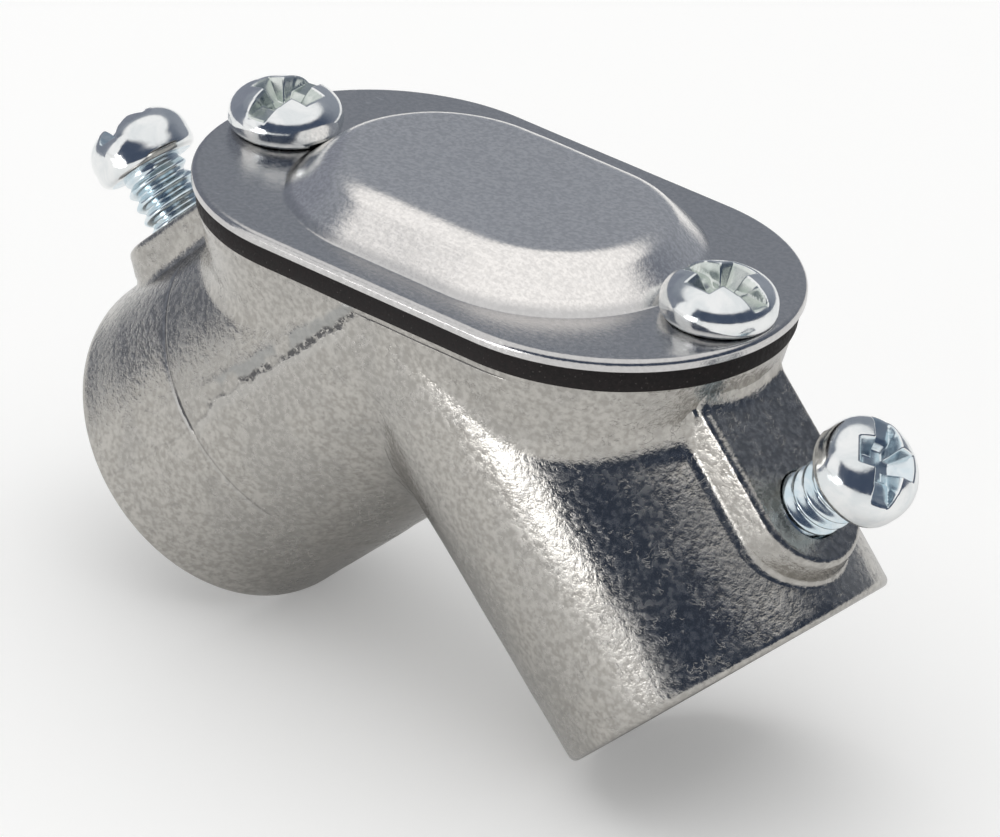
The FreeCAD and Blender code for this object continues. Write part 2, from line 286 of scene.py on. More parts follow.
# %% Mottle group
mottle, inside, outside = new_group(
    "mottle",
    [("Vector", "Vector", None), ("Grain", "Float", 2.0), ("Cloud", "Float", 0.15)],
    [("Patches", "Float"), ("Clouds", "Float"), ("Height", "Float")],
)
fine = noise(mottle, inside.outputs["Vector"], inside.outputs["Grain"], 3.0, 0.52)
broad = noise(mottle, inside.outputs["Vector"], inside.outputs["Cloud"], 3.0, 0.55, 0.6)
tiny_scale = calc(mottle, "MULTIPLY", inside.outputs["Grain"], 3.4)
tiny = noise(mottle, inside.outputs["Vector"], tiny_scale, 1.0, 0.5)
mottle.links.new(spread(mottle, fine, 0.34, 0.66), outside.inputs["Patches"])
mottle.links.new(spread(mottle, broad, 0.35, 0.65), outside.inputs["Clouds"])
height = calc(mottle, "ADD", fine, calc(mottle, "MULTIPLY", tiny, 0.22))
mottle.links.new(height, outside.inputs["Height"])
print("mottle group:", len(mottle.nodes), "nodes")

# %% Scratches group
scratches, inside, outside = new_group(
    "scratches",
    [("Vector", "Vector", None), ("Fineness", "Float", 6.0), ("Length", "Float", 0.08)],
    [("Lines", "Float"), ("Marks", "Float")],
)
axes = add(scratches, "ShaderNodeSeparateXYZ", {0: inside.outputs["Vector"]}).outputs
slow = calc(scratches, "MULTIPLY", axes[0], inside.outputs["Length"])
stretched = add(scratches, "ShaderNodeCombineXYZ", {0: slow, 1: axes[1], 2: axes[2]}).outputs[0]
lines = noise(scratches, stretched, inside.outputs["Fineness"], 4.0, 0.6)
scratches.links.new(spread(scratches, lines, 0.3, 0.7), outside.inputs["Lines"])
rare = noise(scratches, stretched, calc(scratches, "MULTIPLY", inside.outputs["Fineness"], 0.45), 2.0, 0.5)
scratches.links.new(spread(scratches, rare, 0.66, 0.76), outside.inputs["Marks"])
print("scratches group:", len(scratches.nodes), "nodes")

# %% [markdown]
# ## Cast zinc
# Die-cast zinc is a warm light grey with a satin skin.  It is all metal, so its colour
# is the tint of its reflections; patches change that tint and the roughness together,
# and a low bump breaks highlights into sparkles.

# %% Cast zinc skin
ZINC_DARK, ZINC_PALE = (0.365, 0.35, 0.325, 1), (0.50, 0.482, 0.452, 1)
ZINC_CLOUD, ZINC_HAIR = (0.34, 0.335, 0.325, 1), (0.24, 0.235, 0.23, 1)
HAIR_HALF_WIDTH = 0.022                       # of the noise's range, about its middle

cast_zinc, tree, shader, place = new_material("cast_zinc", 1.0)
skin = use(tree, mottle, {"Vector": place, "Grain": 2.3, "Cloud": 0.16}).outputs
tone = mixed(tree, skin["Patches"], ZINC_DARK, ZINC_PALE)
tone = mixed(tree, spread(tree, skin["Clouds"], 0.0, 1.0, 0.0, 0.25), tone, ZINC_CLOUD)
contour = calc(tree, "SUBTRACT", noise(tree, place, 1.25, 3.0, 0.6, 0.9), 0.5)
hairs = spread(tree, calc(tree, "ABSOLUTE", contour), 0.0, HAIR_HALF_WIDTH, 1.0, 0.0)
hairs = product(tree, hairs, spread(tree, noise(tree, place, 0.85, 2.0), 0.50, 0.60))
tone = laid_over(tree, tone, hairs, 0.45, ZINC_HAIR)
rough = calc(tree, "ADD", spread(tree, skin["Patches"], 0.0, 1.0, 0.14, 0.25),
             spread(tree, skin["Clouds"], 0.0, 1.0, -0.02, 0.04))
height = calc(tree, "SUBTRACT", skin["Height"], calc(tree, "MULTIPLY", hairs, 0.2))
print("cast zinc skin:", len(tree.nodes), "nodes")

# %% [markdown]
# The two halves of the die met along the side of the left socket.  The seam is drawn
# on the same material: a chain of torn gashes with ground flats above it, a ring where
# a core ended, and a thin line under the seat.  The gashes, the ring and the line are
# darkened with painted shade, as shade falls into a crack or groove.  All are bands
# round a line, written in distances along and out from that socket's axis.

# %% Where the seam of the die runs
SEAM_OUT, SEAM_SLOPE, SEAM_DROP = 0.58, 0.045, -0.95
SEAM_WANDER = 1.4
RING_STATION = 21.2
SEAT_LINE_DEPTH = 0.22

axes = add(tree, "ShaderNodeSeparateXYZ", {0: place}).outputs
above = above_corner(tree, place)
along = calc(tree, "MULTIPLY", calc(tree, "ADD", axes[0], above), -1.0 / ROOT_TWO)
out = calc(tree, "MULTIPLY", calc(tree, "SUBTRACT", above, axes[0]), 1.0 / ROOT_TWO)
near_side = spread(tree, axes[1], -8.0, -5.0, 1.0, 0.0)
front = product(tree, near_side, spread(tree, axes[0], -0.6, 0.4, 1.0, 0.0))
wander = calc(tree, "SUBTRACT", noise(tree, place, 0.55, 5.0, 0.6), 0.5)
wander = calc(tree, "MULTIPLY", wander, SEAM_WANDER)
path = spread(tree, along, 17.0, RING_STATION, 0.0, SEAM_DROP)
path = calc(tree, "ADD", path, calc(tree, "MULTIPLY_ADD", along, SEAM_SLOPE, SEAM_OUT))
seam = calc(tree, "SUBTRACT", calc(tree, "SUBTRACT", out, path), wander)
reach = product(tree, front, spread(tree, along, 0.2, 0.8), spread(tree, along, 18.0, 19.0, 1.0, 0.0))
print("seam found with", len(tree.nodes), "nodes")

# %% Gashes, flats, ring and seat line
torn = noise(tree, place, 0.42, 2.0, 0.4)
crumbs = noise(tree, place, 2.6, 3.0, 0.6)
# Painted shade: the gash and the faint line beside it darken the zinc in the torn seam's crack.
gash = product(tree, reach, band(tree, seam, 0.09, 0.26),
               spread(tree, torn, 0.45, 0.51), spread(tree, crumbs, 0.40, 0.52))
faint = product(tree, front, band(tree, calc(tree, "ADD", seam, 0.15), 0.02, 0.14),
                spread(tree, along, 18.0, 32.0, 0.22, 0.12))
# Painted highlight: the ridge below the seam is lightened as well as lifted by the bump.
ridge_and_highlight = product(tree, front, band(tree, calc(tree, "ADD", seam, 0.55), 0.15, 0.35),
                spread(tree, along, 2.0, 4.0), spread(tree, along, 20.5, RING_STATION, 1.0, 0.0))
flat = product(tree, reach, band(tree, calc(tree, "SUBTRACT", seam, 0.66), 0.25, 0.40),
               spread(tree, torn, 0.44, 0.56))
ring_reach = product(tree, front, spread(tree, out, -7.5, -7.0), spread(tree, out, 11.0, 12.0, 1.0, 0.0),
                     spread(tree, out, 0.0, 0.6, 0.30, 1.0), spread(tree, out, 2.4, 4.0, 1.0, 0.45))
# The ring's dark line is painted shade at its step, and the pale line beside it is a painted highlight on
# the step's edge.
off_ring = calc(tree, "SUBTRACT", along, RING_STATION)
ring_shade = product(tree, ring_reach, band(tree, off_ring, 0.035, 0.10))
ring_highlight = product(tree, ring_reach, band(tree, calc(tree, "SUBTRACT", off_ring, 0.24), 0.05, 0.12))
# Painted shade along the groove under the seat.
seat_line_shade = product(tree, near_side, band(tree, calc(tree, "ADD", above, SEAT_LINE_DEPTH), 0.02, 0.07),
                    spread(tree, axes[0], -1.5, -0.5), spread(tree, axes[0], 9.0, 13.0, 1.0, 0.0))
torn_shade = calc(tree, "MAXIMUM", gash, faint)
grooves_and_shade = calc(tree, "MAXIMUM", torn_shade, calc(tree, "MAXIMUM", ring_shade, seat_line_shade))
print("marks drawn with", len(tree.nodes), "nodes")

# %% Marks laid on the cast zinc
CAST_DEPTH = 0.000034                         # metres
# Colours laid over the zinc: the ridge and the ring's pale line are painted highlight, the flats a darker
# ground tone, and the dark marks painted shade.
MARK_SHADE_AND_HIGHLIGHT_COLOURS = (
    (ridge_and_highlight, 0.35, (0.52, 0.51, 0.49, 1)),
    (flat, 0.6, (0.30, 0.31, 0.31, 1)),
    (grooves_and_shade, 0.92, (0.08, 0.08, 0.085, 1)),
    (ring_highlight, 0.55, (0.60, 0.60, 0.60, 1)),
)
for mark, share, colour in MARK_SHADE_AND_HIGHLIGHT_COLOURS:
    tone = laid_over(tree, tone, mark, share, colour)
rough = calc(tree, "SUBTRACT", rough, calc(tree, "MULTIPLY", flat, 0.05))
height = mixed_value(tree, calc(tree, "MULTIPLY", flat, 0.65), height, 0.75)
height = calc(tree, "ADD", height, calc(tree, "MULTIPLY", ridge_and_highlight, 0.7))
height = calc(tree, "SUBTRACT", height, calc(tree, "MULTIPLY", grooves_and_shade, 1.6))
finish_material(tree, shader, tone, rough, height, 1.0, CAST_DEPTH)

# %% [markdown]
# ## Pressed steel
# The cover is cut from rolled sheet.  Rolling leaves faint lines along the sheet and
# handling adds a few brighter marks.  The grey is painted brighter from just above the
# flange upwards, a painted highlight for the overhead light that the dome reflects.

# %% Pressed steel material
FLANGE_GREY, DOME_HIGHLIGHT_GREY = (0.60, 0.59, 0.585, 1), (0.94, 0.91, 0.88, 1)
LINE_GREY, PATCH_GREY, MARK_GREY = (0.56, 0.55, 0.55, 1), (0.40, 0.395, 0.39, 1), (0.86, 0.86, 0.85, 1)
HIGHLIGHT_FROM, HIGHLIGHT_FULLY = 2.95, 3.5             # heights above the corner
FINE_DEPTH = 0.00001                          # metres

pressed_steel, tree, shader, place = new_material("pressed_steel", 1.0)
marks = use(tree, scratches, {"Vector": place, "Fineness": 6.0, "Length": 0.30}).outputs
patch = use(tree, mottle, {"Vector": place, "Grain": 3.4, "Cloud": 0.2}).outputs
# Painted highlight: the grey rises from the flange's to near white with height over the dome.
dome_highlight = spread(tree, above_corner(tree, place), HIGHLIGHT_FROM, HIGHLIGHT_FULLY)
tone = mixed(tree, dome_highlight, FLANGE_GREY, DOME_HIGHLIGHT_GREY)
tone = mixed(tree, spread(tree, marks["Lines"], 0.0, 1.0, 0.0, 0.25), tone, LINE_GREY)
tone = mixed(tree, spread(tree, patch["Patches"], 0.0, 1.0, 0.24, 0.0), tone, PATCH_GREY)
tone = laid_over(tree, tone, marks["Marks"], 0.35, MARK_GREY)
rough = calc(tree, "ADD", spread(tree, marks["Lines"], 0.0, 1.0, 0.12, 0.18),
             spread(tree, patch["Patches"], 0.0, 1.0, 0.0, 0.06))
height = calc(tree, "ADD", calc(tree, "MULTIPLY", marks["Lines"], 0.5), patch["Height"])
finish_material(tree, shader, tone, rough, height, 0.6, FINE_DEPTH)

# %% [markdown]
# ## Plated steel and rubber
# The screws are bright zinc, and the plating pools to a blue tint in their recesses and
# threads, a little greener on the upper screws.  The gasket is punched from black rubber
# sheet, matt, with tiny pale specks of the talc it was packed in.

# %% Plated steel material
PLATE_DARK, PLATE_PALE = (0.72, 0.75, 0.76, 1), (0.84, 0.85, 0.85, 1)
plated_steel, tree, shader, place = new_material("plated_steel", 1.0)
patch = use(tree, mottle, {"Vector": place, "Grain": 1.6, "Cloud": 0.5}).outputs
tone = mixed(tree, patch["Clouds"], PLATE_DARK, PLATE_PALE)
rough = spread(tree, patch["Patches"], 0.0, 1.0, 0.10, 0.17)
finish_material(tree, shader, tone, rough, patch["Height"], 0.7, FINE_DEPTH)

# %% Blue plating of recesses and threads
BLUE_DARK, BLUE_PALE = (0.60, 0.71, 0.77, 1), (0.74, 0.80, 0.83, 1)
GREEN_DARK, GREEN_PALE = (0.58, 0.63, 0.60, 1), (0.72, 0.75, 0.72, 1)
GREEN_FROM, GREEN_FULLY = 1.5, 3.0            # heights above the corner
blue_plating, tree, shader, place = new_material("blue_plating", 1.0)
patch = use(tree, mottle, {"Vector": place, "Grain": 1.6, "Cloud": 0.7}).outputs
blue = mixed(tree, patch["Clouds"], BLUE_DARK, BLUE_PALE)
green = mixed(tree, patch["Clouds"], GREEN_DARK, GREEN_PALE)
tone = mixed(tree, spread(tree, above_corner(tree, place), GREEN_FROM, GREEN_FULLY), blue, green)
rough = spread(tree, patch["Patches"], 0.0, 1.0, 0.16, 0.26)
finish_material(tree, shader, tone, rough, patch["Height"], 0.6, FINE_DEPTH)

# %% Rubber material
RUBBER_DARK, RUBBER_PALE = (0.014, 0.012, 0.012, 1), (0.026, 0.022, 0.022, 1)
TALC = (0.16, 0.15, 0.14, 1)
RUBBER_DEPTH = 0.00004                        # metres
rubber, tree, shader, place = new_material("gasket_rubber", 0.0)
shader.inputs["Specular IOR Level"].default_value = 0.16
patch = use(tree, mottle, {"Vector": place, "Grain": 3.0, "Cloud": 0.3}).outputs
specks = spread(tree, noise(tree, place, 5.5, 1.0), 0.70, 0.76)
tone = mixed(tree, patch["Patches"], RUBBER_DARK, RUBBER_PALE)
tone = laid_over(tree, tone, specks, 0.5, TALC)
rough = spread(tree, patch["Patches"], 0.0, 1.0, 0.55, 0.75)
finish_material(tree, shader, tone, rough, patch["Height"], 1.0, RUBBER_DEPTH)

# %% [markdown]
# ## The casting's outside as a distance
# The outside is three forms grown together: two tapered barrels and a drafted oval
# box.  Each is written as a distance, negative inside.  Where two forms meet, a fillet
# of a given radius joins them; its radius shrinks as the two surfaces come to lie in
# one plane, so the join never swells.

# %% Distances to the casting's forms
MOUTH_DISTANCE = 32.3
MOUTH_RADIUS = 12.25
HUB_SLOPE = math.tan(math.radians(1.0))
SEAT_HEIGHT = 0.26
BOX_STRAIGHT = 9.3
BOX_HALF_WIDTH = 13.1
BOX_DEPTH = 8.0
BOX_DRAFT = math.radians(13.0)
BOX_BLEND = 3.2
VALLEY_BLEND = 2.4


def hub_coordinates(points, side):
    """Distances along a socket's axis and out from it towards its set screw."""
    along = (side * points[..., 0] - points[..., 2]) / ROOT_TWO
    out = (side * points[..., 0] + points[..., 2]) / ROOT_TWO
    return along, out


def hub_distance(points, side):
    """Radius about the axis less the barrel's radius there, with the outward direction."""
    along, out = hub_coordinates(points, side)
    radius = np.maximum(np.hypot(out, points[..., 1]), 1e-9)
    distance = radius - MOUTH_RADIUS - (MOUTH_DISTANCE - along) * HUB_SLOPE
    out = out / radius
    normal = np.stack([side * out / ROOT_TWO, points[..., 1] / radius, out / ROOT_TWO], axis=-1)
    return distance, normal


def box_distance(points):
    """Oval distance in plan less a half width that shrinks with depth, and its direction."""
    reach = np.sign(points[..., 0]) * np.maximum(np.abs(points[..., 0]) - BOX_STRAIGHT, 0.0)
    radius = np.maximum(np.hypot(reach, points[..., 1]), 1e-9)
    half_width = BOX_HALF_WIDTH - (SEAT_HEIGHT - points[..., 2]) * math.tan(BOX_DRAFT)
    wall = (radius - half_width) * math.cos(BOX_DRAFT)
    flat = math.cos(BOX_DRAFT) / radius
    lean = np.full_like(radius, -math.sin(BOX_DRAFT))
    normal = np.stack([reach * flat, points[..., 1] * flat, lean], axis=-1)
    return np.maximum(wall, -points[..., 2] - BOX_DEPTH), normal


def filleted(a, b, radius):
    """Union of two distances with a round fillet in the inner corner between them."""
    corner = np.hypot(np.maximum(radius - a, 0.0), np.maximum(radius - b, 0.0))
    return np.maximum(radius, np.minimum(a, b)) - corner


def casting_distance(points):
    """Barrels joined to each other, then to the box; fillets fade as surfaces align."""
    right, right_normal = hub_distance(points, 1.0)
    left, left_normal = hub_distance(points, -1.0)
    opened = np.clip(1.0 - (right_normal * left_normal).sum(axis=-1), 0.0, 1.0)
    hubs = filleted(right, left, VALLEY_BLEND * opened)
    nearer = np.where((right < left)[..., None], right_normal, left_normal)
    box, box_normal = box_distance(points)
    opened = np.clip(1.0 - (nearer * box_normal).sum(axis=-1), 0.0, 1.0)
    return filleted(hubs, box, BOX_BLEND * opened)


probe = np.array([[0.0, 0.0, -17.8], [0.0, 13.1, 0.2], [22.4, 0.0, 0.2], [15.0, 0.0, -30.0]])
print("distances at four probes:", np.round(casting_distance(probe), 2))

# %% [markdown]
# ## The casting's hollow as a distance
# The hollow is a chamber and throat round each axis and the oval opening under the
# cover.  Its edges are left crisp, because a core pin leaves them so.

# %% Distance to the hollow
SOCKET_RADIUS = MOUNTS["right_hub"]["dims"]["r_mm"]
SOCKET_DEPTH = 17.3
STOP_STATION = MOUTH_DISTANCE - SOCKET_DEPTH
THROAT_RADIUS = 7.9
CHAMBER_RADIUS = 10.3
CHAMBER_LENGTH = 8.5
OPENING_STRAIGHT = 3.4
OPENING_HALF_WIDTH = 10.6
OPENING_DEPTH = 4.3


def chamber_distance(points, side):
    """Radius about the axis less the chamber's, which narrows to the throat's."""
    along, out = hub_coordinates(points, side)
    radius = np.clip(CHAMBER_RADIUS + CHAMBER_LENGTH - along, THROAT_RADIUS, CHAMBER_RADIUS)
    return np.hypot(out, points[..., 1]) - radius


def hollow_distance(points):
    """The nearest of both chambers and the oval opening, negative in the hollow."""
    reach = np.maximum(np.abs(points[..., 0]) - OPENING_STRAIGHT, 0.0)
    wall = np.hypot(reach, points[..., 1]) - OPENING_HALF_WIDTH
    opening = np.maximum(wall, SEAT_HEIGHT - OPENING_DEPTH - points[..., 2])
    return np.minimum(opening, np.minimum(chamber_distance(points, 1.0), chamber_distance(points, -1.0)))


def first_crossing(distance, start, target, low, high, steps=36):
    """Point from start towards target where the distance turns positive, found by halving."""
    low = np.full(start.shape[:-1], low)
    high = np.full(start.shape[:-1], high)
    for _ in range(steps):
        middle = 0.5 * (low + high)
        inner = distance(start + middle[..., None] * (target - start)) < 0.0
        low = np.where(inner, middle, low)
        high = np.where(inner, high, middle)
    return start + high[..., None] * (target - start)


print("hollow at the corner:", hollow_distance(np.zeros((1, 3))))

# %% [markdown]
# ## Marks of the die
# The two halves of the die met along the side of the left socket.  There the casting
# has a ragged ledge, trimmed flat in places, a thin ring where a core ended, and a
# faint double line just under the seat.  Slow waves a few hundredths of a millimetre
# high make the reflections wander as they do on a real casting.

# %% Slow waves
WAVE_COUNT = 26
WAVE_LENGTHS = (2.6, 9.0)
LEDGE_WAVES = 8

waves = np.random.default_rng(11)
wave_vectors = waves.normal(size=(WAVE_COUNT, 3))
wave_numbers = 2 * math.pi / waves.uniform(*WAVE_LENGTHS, WAVE_COUNT)
wave_vectors *= (wave_numbers / np.linalg.norm(wave_vectors, axis=1))[:, None]
wave_phases = waves.uniform(0, 2 * math.pi, WAVE_COUNT)
ledge_phases = waves.uniform(0, 2 * math.pi, LEDGE_WAVES)


def rolling(points):
    """Sum of slow sines in random directions, between about -1 and 1."""
    total = np.zeros(points.shape[:-1])
    for vector, phase in zip(wave_vectors, wave_phases):
        total += np.sin(points @ vector + phase)
    return total / math.sqrt(2 * WAVE_COUNT)


def ragged(t, scale):
    """Sum of sines of rising pitch along a line, between about -1 and 1."""
    total = np.zeros_like(t)
    for i, phase in enumerate(ledge_phases):
        total += np.sin(t * scale * 1.55 ** i + phase) / 1.25 ** i
    return total / 2.2


def bell(value, width):
    """A smooth hump of height 1 at zero, e to the power of minus the share squared."""
    return np.exp(-(value / width) ** 2)


def step(value, low, high):
    """0 at the low end and 1 at the high end, three t squared less two t cubed between."""
    t = np.clip((value - low) / (high - low), 0.0, 1.0)
    return t * t * (3.0 - 2.0 * t)


print("waves:", np.round(rolling(probe), 2))

# %% Height of the marks
CAST_WAVES = 0.022
LEDGE_OUT, LEDGE_SLOPE = 0.62, 0.045          # the ledge's line on the left socket
LEDGE_HEIGHT, LEDGE_DROP = 0.10, 0.06         # above that line, and below it
RING_STEP = 0.05                              # the mouth's end stands prouder
FLASH_HEIGHT = 0.07                           # thin flash on the right socket's far side
LINE_DEPTH = 0.05                             # groove under the seat


def die_marks(points, side):
    """Waves plus, on the left, ledge and ring, on the right, flash, less the seat's groove."""
    height = CAST_WAVES * rolling(points)
    along, out = hub_coordinates(points, side)
    if side < 0:
        front = step(-points[..., 1], 4.0, 8.0)
        line = LEDGE_OUT + LEDGE_SLOPE * along + 0.12 * ragged(along, 1.1)
        height += front * LEDGE_HEIGHT * bell(out - line - 0.70, 0.55) * (1.0 - step(along, 18.0, 20.0))
        height -= front * LEDGE_DROP * step(line - out, 0.0, 0.3) * step(along, 20.9, 21.5)
        height += RING_STEP * step(along, 21.25, 21.6)
    else:
        back = step(points[..., 1], 4.0, 8.0)
        height += back * FLASH_HEIGHT * bell(out - 0.2 - 0.1 * ragged(along, 1.3), 0.2)
    depth = SEAT_HEIGHT - points[..., 2]
    lip = step(points[..., 0], 12.0, -2.0)
    height -= LINE_DEPTH * lip * bell(depth - 0.55, 0.12)
    return height


print("marks at the probes:", np.round(die_marks(probe, -1.0), 3))

# %% [markdown]
# ## The casting as one grid
# Half of the casting is a grid of columns round one socket.  A column starts on the
# seat's edge, or on the plane where the two halves meet, runs along the outside to the
# mouth, turns over it and comes back along the socket and chamber to the same plane.
# Each point is found by walking from the socket's axis until the distance turns
# positive.  The other half is the same grid with the side turned.

# %% Columns of the casting
COLUMNS = 256
OUTER_ROWS = 118
INNER_ROWS = 36
MOUTH_ROUNDING = 0.5
MOUTH_LEAD_IN = 0.6
INNER_END = 13.0
SIDE_CROWDING = 0.26                          # columns crowd where barrel and box meet

turn = np.linspace(0.0, 2 * math.pi, COLUMNS, endpoint=False)
round_angle = turn + SIDE_CROWDING * np.sin(2 * turn)
cosine, sine = np.cos(round_angle), np.sin(round_angle)
SIDES = [COLUMNS // 4, 3 * COLUMNS // 4]
cosine[SIDES] = 0.0
upper = cosine >= 0.0


def on_axis(along, out, across, side):
    """Point from its distances along the axis, out from it and across."""
    along, out, across = np.broadcast_arrays(along, out, across)
    return np.stack([side * (along + out) / ROOT_TWO, across, (out - along) / ROOT_TWO], axis=-1)


def oval_reach(x, y, straight, half_width):
    """Distance from the middle of an oval to its edge, along the unit direction (x, y)."""
    side_reach = half_width / np.maximum(np.abs(y), 1e-9)
    end_reach = straight * x + np.sqrt(np.maximum(half_width ** 2 - (straight * y) ** 2, 0.0))
    end_reach = np.where(np.abs(y) * straight < half_width, end_reach, half_width)
    on_side = x * half_width < np.abs(y) * straight
    return np.where(on_side, side_reach, np.minimum(end_reach, side_reach))


def start_row(distance, straight, half_width, side):
    """Seat edge for the columns above the axis, the meeting plane for those below."""
    flat = np.hypot(ROOT_TWO * cosine, sine)
    x, y = ROOT_TWO * cosine / flat, sine / flat
    edge = oval_reach(x, y, straight, half_width)
    seat = np.stack([side * x * edge, y * edge, np.full_like(x, SEAT_HEIGHT)], axis=-1)
    fall = ROOT_TWO * cosine + SEAT_HEIGHT / half_width * np.abs(sine)
    plane = np.stack([np.zeros_like(x), sine, fall], axis=-1) * half_width
    target = np.where(upper[:, None], seat, plane)
    found = first_crossing(distance, np.zeros_like(target), target, 0.4, 1.6)
    found[upper, 2] = SEAT_HEIGHT
    found[~upper, 0] = 0.0
    found[SIDES, 0] = 0.0
    return found


def walked_rows(distance, first_row, last_row, end_station, shares, side):
    """Rows between two known rows, each walked out from the axis at its own station."""
    start = on_axis(end_station * shares[:, None], 0.0, np.zeros(COLUMNS), side)
    target = first_row + shares[:, None, None] * (last_row - first_row)
    return first_crossing(distance, start, target, 0.25, 1.7)


print("columns:", COLUMNS, "upper", int(upper.sum()))

# %% Half of the casting
def turned_rows(profile, side):
    """Rows of a profile of (along, radius) pairs turned round a socket's axis."""
    along, radius = np.array(profile).T
    return on_axis(along[:, None], radius[:, None] * cosine, radius[:, None] * sine, side)


def surface_normals(distance, points, reach=0.02):
    """Direction in which the distance grows, from differences along the three axes."""
    slopes = []
    for axis in range(3):
        offset = np.zeros(3)
        offset[axis] = reach
        slopes.append(distance(points + offset) - distance(points - offset))
    normal = np.stack(slopes, axis=-1)
    return normal / np.linalg.norm(normal, axis=-1, keepdims=True)


def mouth_profile():
    """Rounding of the mouth's outer edge, its face, the lead-in, the socket and the stop."""
    edge_radius = MOUTH_RADIUS - MOUTH_ROUNDING
    edge_station = MOUTH_DISTANCE - MOUTH_ROUNDING
    rounded = [
        (edge_station + MOUTH_ROUNDING * math.sin(a), edge_radius + MOUTH_ROUNDING * math.cos(a))
        for a in np.linspace(0.0, math.pi / 2, 7)[1:]
    ]
    lead = SOCKET_RADIUS + MOUTH_LEAD_IN
    face = [(MOUTH_DISTANCE, r) for r in np.linspace(edge_radius, lead, 5)[1:]]
    entry = [(MOUTH_DISTANCE - 0.5 * MOUTH_LEAD_IN, lead - 0.5 * MOUTH_LEAD_IN)]
    wall = [(t, SOCKET_RADIUS) for t in np.linspace(MOUTH_DISTANCE - MOUTH_LEAD_IN, STOP_STATION, 22)]
    middle_radius = 8.6
    stop = [(STOP_STATION, middle_radius)]
    stop += [(station, THROAT_RADIUS) for station in (STOP_STATION, 14.0, INNER_END)]
    return rounded + face + entry + wall + stop


def half_casting(side):
    """Outside rows with the die's marks, mouth rows and inside rows, joined in order."""
    edge_station = MOUTH_DISTANCE - MOUTH_ROUNDING
    edge_radius = MOUTH_RADIUS + MOUTH_ROUNDING * HUB_SLOPE
    mouth_row = turned_rows([(edge_station, edge_radius)], side)[0]
    seat_row = start_row(casting_distance, BOX_STRAIGHT, BOX_HALF_WIDTH, side)
    shares = np.linspace(0.0, 1.0, OUTER_ROWS) ** 1.3
    outer = walked_rows(casting_distance, seat_row, mouth_row, edge_station, shares, side)
    outer[0], outer[-1] = seat_row, mouth_row
    fade = (step(shares, 0.0, 0.012) * (1.0 - step(shares, 0.985, 1.0)))[:, None]
    height = die_marks(outer, side) * fade
    outer = outer + height[..., None] * surface_normals(casting_distance, outer)
    end_row = turned_rows([(INNER_END, THROAT_RADIUS)], side)[0]
    opening_row = start_row(hollow_distance, OPENING_STRAIGHT, OPENING_HALF_WIDTH, side)
    shares = np.linspace(1.0, 0.0, INNER_ROWS)[1:]
    inner = walked_rows(hollow_distance, opening_row, end_row, INNER_END, shares, side)
    inner[-1] = opening_row
    return np.concatenate([outer, turned_rows(mouth_profile(), side), inner])


print("mouth profile:", len(mouth_profile()), "rows")

# %% [markdown]
# The seat is the one face that the columns don't cover: it lies between the outside's
# first row and the inside's last, so a small grid of seven rows fills it.

# %% Both halves and the seat
SEAT_ROWS = 7
halves, cells, count = [], [], 0
for side, order in ((1.0, 1), (-1.0, -1)):
    rows = half_casting(side)
    top = range(-COLUMNS // 4, COLUMNS // 4 + 1)
    outer_edge, inner_edge = rows[0, top], rows[-1, top]
    seat = outer_edge + np.linspace(0.0, 1.0, SEAT_ROWS)[:, None, None] * (inner_edge - outer_edge)
    cells.append(grid_cells(len(rows), COLUMNS, count)[:, ::order])
    count += rows.shape[0] * COLUMNS
    cells.append(grid_cells(SEAT_ROWS, len(top), count, wrap=False)[:, ::-order])
    count += seat.shape[0] * seat.shape[1]
    halves += [rows.reshape(-1, 3), seat.reshape(-1, 3)]
points, cells = np.concatenate(halves), np.concatenate(cells)
casting = make_piece("casting", points, cells, "housing", cast_zinc)
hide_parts("body")

# %% [markdown]
# ## Set screw pads
# A flat-faced pad stands on each socket round its set screw.  It is one ring of
# profile: up the threaded hole, over the face, round the lip, down the wall and out
# along a small fillet until it sinks into the socket.  The fillet's foot follows the
# casting, whose height above the axis is found by walking again.

# %% Pads
PAD_FACE = 14.2
PAD_HALF_WIDTH = 4.45
PAD_DRAFT = 0.3
PAD_START = 15.2
PAD_LIP = 0.6
PAD_FOOT = 0.7
FACE_BLEND = 0.75
SET_SCREW_STATION = 25.2
SET_HOLE_RADIUS = 2.45
HOLE_CHAMFER = 0.1
PAD_STRAIGHT_STEPS = 46
PAD_ROUND_STEPS = 72
PAD_CLOSING_STEPS = 16
SUNK = 10.2                                   # a height inside the socket's wall
DIP = 0.03                                    # an edge ends this far under the skin it meets


def pad_outline(spare):
    """Straight sides and a round end, a given distance outside the pad's face."""
    half = PAD_HALF_WIDTH + spare
    out = np.linspace(PAD_START, SET_SCREW_STATION, PAD_STRAIGHT_STEPS)
    edge = np.full(PAD_STRAIGHT_STEPS, half)
    angle = np.linspace(-math.pi / 2, math.pi / 2, PAD_ROUND_STEPS)[1:-1]
    closing = np.linspace(half, -half, PAD_CLOSING_STEPS + 2)[1:-1]
    along = [out, SET_SCREW_STATION + half * np.cos(angle), out[::-1], np.full(PAD_CLOSING_STEPS, PAD_START)]
    across = [-edge, half * np.sin(angle), edge, closing]
    return np.concatenate(along), np.concatenate(across)


def skin_height(along, across, side):
    """How far out from the axis the casting's skin lies."""
    start = on_axis(along, 6.0, across, side)
    target = on_axis(along, 16.0, across, side)
    return hub_coordinates(first_crossing(casting_distance, start, target, 0.0, 1.4), side)[1]


